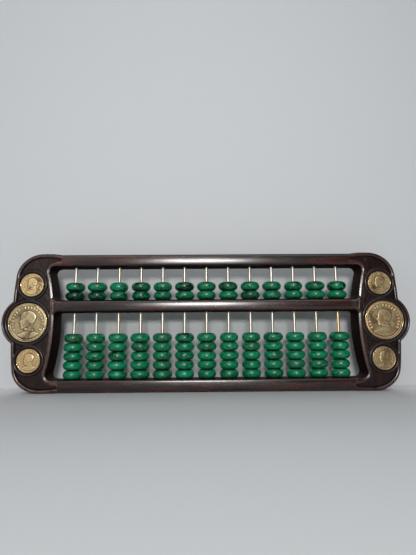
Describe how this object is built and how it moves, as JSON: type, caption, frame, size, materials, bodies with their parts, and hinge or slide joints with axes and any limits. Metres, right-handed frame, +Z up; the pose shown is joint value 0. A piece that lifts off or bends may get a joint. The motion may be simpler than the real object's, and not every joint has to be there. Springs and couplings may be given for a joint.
{
  "type": "abacus",
  "caption": "Bead abacus with a carved dark hardwood frame, metal rods, green stone beads above and below a beam, and coins let into the end panels.",
  "frame": {"origin": "on the ground under the middle of the frame, at mid-depth", "axes": "+X along the frame's length to the right as seen from the front, +Y to the back, +Z up along the rods"},
  "size_m": [0.413, 0.026, 0.14],
  "materials": {
    "rosewood": "polished very dark rosewood",
    "rod_metal": "pale drawn metal",
    "coin_metal": "struck and tarnished",
    "bead_stone": "polished opaque green stone"
  },
  "bodies": {
    "frame": {"top_rail": "rosewood", "bottom_rail": "rosewood", "cross_beam": "rosewood", "left_end_panel": "rosewood", "right_end_panel": "rosewood", "rods": "rod_metal", "large_coins": "coin_metal", "small_coins": "coin_metal"},
    "upper_bead_first_01": {"upper_bead_first_01": "bead_stone"},
    "upper_bead_second_01": {"upper_bead_second_01": "bead_stone"},
    "lower_beads_four_01": {"lower_beads_four_01": "bead_stone"},
    "lower_bead_top_01": {"lower_bead_top_01": "bead_stone"},
    "upper_bead_first_02": {"upper_bead_first_02": "bead_stone"},
    "upper_bead_second_02": {"upper_bead_second_02": "bead_stone"},
    "lower_beads_four_02": {"lower_beads_four_02": "bead_stone"},
    "lower_bead_top_02": {"lower_bead_top_02": "bead_stone"},
    "upper_bead_first_03": {"upper_bead_first_03": "bead_stone"},
    "upper_bead_second_03": {"upper_bead_second_03": "bead_stone"},
    "lower_beads_four_03": {"lower_beads_four_03": "bead_stone"},
    "lower_bead_top_03": {"lower_bead_top_03": "bead_stone"},
    "upper_bead_first_04": {"upper_bead_first_04": "bead_stone"},
    "upper_bead_second_04": {"upper_bead_second_04": "bead_stone"},
    "lower_beads_four_04": {"lower_beads_four_04": "bead_stone"},
    "lower_bead_top_04": {"lower_bead_top_04": "bead_stone"},
    "upper_bead_first_05": {"upper_bead_first_05": "bead_stone"},
    "upper_bead_second_05": {"upper_bead_second_05": "bead_stone"},
    "lower_beads_four_05": {"lower_beads_four_05": "bead_stone"},
    "lower_bead_top_05": {"lower_bead_top_05": "bead_stone"},
    "upper_bead_first_06": {"upper_bead_first_06": "bead_stone"},
    "upper_bead_second_06": {"upper_bead_second_06": "bead_stone"},
    "lower_beads_four_06": {"lower_beads_four_06": "bead_stone"},
    "lower_bead_top_06": {"lower_bead_top_06": "bead_stone"},
    "upper_bead_first_07": {"upper_bead_first_07": "bead_stone"},
    "upper_bead_second_07": {"upper_bead_second_07": "bead_stone"},
    "lower_beads_four_07": {"lower_beads_four_07": "bead_stone"},
    "lower_bead_top_07": {"lower_bead_top_07": "bead_stone"},
    "upper_bead_first_08": {"upper_bead_first_08": "bead_stone"},
    "upper_bead_second_08": {"upper_bead_second_08": "bead_stone"},
    "lower_beads_four_08": {"lower_beads_four_08": "bead_stone"},
    "lower_bead_top_08": {"lower_bead_top_08": "bead_stone"},
    "upper_bead_first_09": {"upper_bead_first_09": "bead_stone"},
    "upper_bead_second_09": {"upper_bead_second_09": "bead_stone"},
    "lower_beads_four_09": {"lower_beads_four_09": "bead_stone"},
    "lower_bead_top_09": {"lower_bead_top_09": "bead_stone"},
    "upper_bead_first_10": {"upper_bead_first_10": "bead_stone"},
    "upper_bead_second_10": {"upper_bead_second_10": "bead_stone"},
    "lower_beads_four_10": {"lower_beads_four_10": "bead_stone"},
    "lower_bead_top_10": {"lower_bead_top_10": "bead_stone"},
    "upper_bead_first_11": {"upper_bead_first_11": "bead_stone"},
    "upper_bead_second_11": {"upper_bead_second_11": "bead_stone"},
    "lower_beads_four_11": {"lower_beads_four_11": "bead_stone"},
    "lower_bead_top_11": {"lower_bead_top_11": "bead_stone"},
    "upper_bead_first_12": {"upper_bead_first_12": "bead_stone"},
    "upper_bead_second_12": {"upper_bead_second_12": "bead_stone"},
    "lower_beads_four_12": {"lower_beads_four_12": "bead_stone"},
    "lower_bead_top_12": {"lower_bead_top_12": "bead_stone"},
    "upper_bead_first_13": {"upper_bead_first_13": "bead_stone"},
    "upper_bead_second_13": {"upper_bead_second_13": "bead_stone"},
    "lower_beads_four_13": {"lower_beads_four_13": "bead_stone"},
    "lower_bead_top_13": {"lower_bead_top_13": "bead_stone"}
  },
  "joints": [
    {"name": "upper_first_slide_01", "type": "slide", "parent": "frame", "child": "upper_bead_first_01", "axis": [0, 0, 1], "range_m": [0, 0.0162]},
    {"name": "upper_second_slide_01", "type": "slide", "parent": "upper_bead_first_01", "child": "upper_bead_second_01", "axis": [0, 0, -1], "range_m": [-0.0162, 0]},
    {"name": "lower_four_slide_01", "type": "slide", "parent": "frame", "child": "lower_beads_four_01", "axis": [0, 0, 1], "range_m": [0, 0.02135]},
    {"name": "lower_top_slide_01", "type": "slide", "parent": "lower_beads_four_01", "child": "lower_bead_top_01", "axis": [0, 0, -1], "range_m": [-0.02135, 0]},
    {"name": "upper_first_slide_02", "type": "slide", "parent": "frame", "child": "upper_bead_first_02", "axis": [0, 0, 1], "range_m": [0, 0.0162]},
    {"name": "upper_second_slide_02", "type": "slide", "parent": "upper_bead_first_02", "child": "upper_bead_second_02", "axis": [0, 0, -1], "range_m": [-0.0162, 0]},
    {"name": "lower_four_slide_02", "type": "slide", "parent": "frame", "child": "lower_beads_four_02", "axis": [0, 0, 1], "range_m": [0, 0.02135]},
    {"name": "lower_top_slide_02", "type": "slide", "parent": "lower_beads_four_02", "child": "lower_bead_top_02", "axis": [0, 0, -1], "range_m": [-0.02135, 0]},
    {"name": "upper_first_slide_03", "type": "slide", "parent": "frame", "child": "upper_bead_first_03", "axis": [0, 0, 1], "range_m": [0, 0.0162]},
    {"name": "upper_second_slide_03", "type": "slide", "parent": "upper_bead_first_03", "child": "upper_bead_second_03", "axis": [0, 0, -1], "range_m": [-0.0162, 0]},
    {"name": "lower_four_slide_03", "type": "slide", "parent": "frame", "child": "lower_beads_four_03", "axis": [0, 0, 1], "range_m": [0, 0.02135]},
    {"name": "lower_top_slide_03", "type": "slide", "parent": "lower_beads_four_03", "child": "lower_bead_top_03", "axis": [0, 0, -1], "range_m": [-0.02135, 0]},
    {"name": "upper_first_slide_04", "type": "slide", "parent": "frame", "child": "upper_bead_first_04", "axis": [0, 0, 1], "range_m": [0, 0.0162]},
    {"name": "upper_second_slide_04", "type": "slide", "parent": "upper_bead_first_04", "child": "upper_bead_second_04", "axis": [0, 0, -1], "range_m": [-0.0162, 0]},
    {"name": "lower_four_slide_04", "type": "slide", "parent": "frame", "child": "lower_beads_four_04", "axis": [0, 0, 1], "range_m": [0, 0.02135]},
    {"name": "lower_top_slide_04", "type": "slide", "parent": "lower_beads_four_04", "child": "lower_bead_top_04", "axis": [0, 0, -1], "range_m": [-0.02135, 0]},
    {"name": "upper_first_slide_05", "type": "slide", "parent": "frame", "child": "upper_bead_first_05", "axis": [0, 0, 1], "range_m": [0, 0.0162]},
    {"name": "upper_second_slide_05", "type": "slide", "parent": "upper_bead_first_05", "child": "upper_bead_second_05", "axis": [0, 0, -1], "range_m": [-0.0162, 0]},
    {"name": "lower_four_slide_05", "type": "slide", "parent": "frame", "child": "lower_beads_four_05", "axis": [0, 0, 1], "range_m": [0, 0.02135]},
    {"name": "lower_top_slide_05", "type": "slide", "parent": "lower_beads_four_05", "child": "lower_bead_top_05", "axis": [0, 0, -1], "range_m": [-0.02135, 0]},
    {"name": "upper_first_slide_06", "type": "slide", "parent": "frame", "child": "upper_bead_first_06", "axis": [0, 0, 1], "range_m": [0, 0.0162]},
    {"name": "upper_second_slide_06", "type": "slide", "parent": "upper_bead_first_06", "child": "upper_bead_second_06", "axis": [0, 0, -1], "range_m": [-0.0162, 0]},
    {"name": "lower_four_slide_06", "type": "slide", "parent": "frame", "child": "lower_beads_four_06", "axis": [0, 0, 1], "range_m": [0, 0.02135]},
    {"name": "lower_top_slide_06", "type": "slide", "parent": "lower_beads_four_06", "child": "lower_bead_top_06", "axis": [0, 0, -1], "range_m": [-0.02135, 0]},
    {"name": "upper_first_slide_07", "type": "slide", "parent": "frame", "child": "upper_bead_first_07", "axis": [0, 0, 1], "range_m": [0, 0.0162]},
    {"name": "upper_second_slide_07", "type": "slide", "parent": "upper_bead_first_07", "child": "upper_bead_second_07", "axis": [0, 0, -1], "range_m": [-0.0162, 0]},
    {"name": "lower_four_slide_07", "type": "slide", "parent": "frame", "child": "lower_beads_four_07", "axis": [0, 0, 1], "range_m": [0, 0.02135]},
    {"name": "lower_top_slide_07", "type": "slide", "parent": "lower_beads_four_07", "child": "lower_bead_top_07", "axis": [0, 0, -1], "range_m": [-0.02135, 0]},
    {"name": "upper_first_slide_08", "type": "slide", "parent": "frame", "child": "upper_bead_first_08", "axis": [0, 0, 1], "range_m": [0, 0.0162]},
    {"name": "upper_second_slide_08", "type": "slide", "parent": "upper_bead_first_08", "child": "upper_bead_second_08", "axis": [0, 0, -1], "range_m": [-0.0162, 0]},
    {"name": "lower_four_slide_08", "type": "slide", "parent": "frame", "child": "lower_beads_four_08", "axis": [0, 0, 1], "range_m": [0, 0.02135]},
    {"name": "lower_top_slide_08", "type": "slide", "parent": "lower_beads_four_08", "child": "lower_bead_top_08", "axis": [0, 0, -1], "range_m": [-0.02135, 0]},
    {"name": "upper_first_slide_09", "type": "slide", "parent": "frame", "child": "upper_bead_first_09", "axis": [0, 0, 1], "range_m": [0, 0.0162]},
    {"name": "upper_second_slide_09", "type": "slide", "parent": "upper_bead_first_09", "child": "upper_bead_second_09", "axis": [0, 0, -1], "range_m": [-0.0162, 0]},
    {"name": "lower_four_slide_09", "type": "slide", "parent": "frame", "child": "lower_beads_four_09", "axis": [0, 0, 1], "range_m": [0, 0.02135]},
    {"name": "lower_top_slide_09", "type": "slide", "parent": "lower_beads_four_09", "child": "lower_bead_top_09", "axis": [0, 0, -1], "range_m": [-0.02135, 0]},
    {"name": "upper_first_slide_10", "type": "slide", "parent": "frame", "child": "upper_bead_first_10", "axis": [0, 0, 1], "range_m": [0, 0.0162]},
    {"name": "upper_second_slide_10", "type": "slide", "parent": "upper_bead_first_10", "child": "upper_bead_second_10", "axis": [0, 0, -1], "range_m": [-0.0162, 0]},
    {"name": "lower_four_slide_10", "type": "slide", "parent": "frame", "child": "lower_beads_four_10", "axis": [0, 0, 1], "range_m": [0, 0.02135]},
    {"name": "lower_top_slide_10", "type": "slide", "parent": "lower_beads_four_10", "child": "lower_bead_top_10", "axis": [0, 0, -1], "range_m": [-0.02135, 0]},
    {"name": "upper_first_slide_11", "type": "slide", "parent": "frame", "child": "upper_bead_first_11", "axis": [0, 0, 1], "range_m": [0, 0.0162]},
    {"name": "upper_second_slide_11", "type": "slide", "parent": "upper_bead_first_11", "child": "upper_bead_second_11", "axis": [0, 0, -1], "range_m": [-0.0162, 0]},
    {"name": "lower_four_slide_11", "type": "slide", "parent": "frame", "child": "lower_beads_four_11", "axis": [0, 0, 1], "range_m": [0, 0.02135]},
    {"name": "lower_top_slide_11", "type": "slide", "parent": "lower_beads_four_11", "child": "lower_bead_top_11", "axis": [0, 0, -1], "range_m": [-0.02135, 0]},
    {"name": "upper_first_slide_12", "type": "slide", "parent": "frame", "child": "upper_bead_first_12", "axis": [0, 0, 1], "range_m": [0, 0.0162]},
    {"name": "upper_second_slide_12", "type": "slide", "parent": "upper_bead_first_12", "child": "upper_bead_second_12", "axis": [0, 0, -1], "range_m": [-0.0162, 0]},
    {"name": "lower_four_slide_12", "type": "slide", "parent": "frame", "child": "lower_beads_four_12", "axis": [0, 0, 1], "range_m": [0, 0.02135]},
    {"name": "lower_top_slide_12", "type": "slide", "parent": "lower_beads_four_12", "child": "lower_bead_top_12", "axis": [0, 0, -1], "range_m": [-0.02135, 0]},
    {"name": "upper_first_slide_13", "type": "slide", "parent": "frame", "child": "upper_bead_first_13", "axis": [0, 0, 1], "range_m": [0, 0.0162]},
    {"name": "upper_second_slide_13", "type": "slide", "parent": "upper_bead_first_13", "child": "upper_bead_second_13", "axis": [0, 0, -1], "range_m": [-0.0162, 0]},
    {"name": "lower_four_slide_13", "type": "slide", "parent": "frame", "child": "lower_beads_four_13", "axis": [0, 0, 1], "range_m": [0, 0.02135]},
    {"name": "lower_top_slide_13", "type": "slide", "parent": "lower_beads_four_13", "child": "lower_bead_top_13", "axis": [0, 0, -1], "range_m": [-0.02135, 0]}
  ]
}
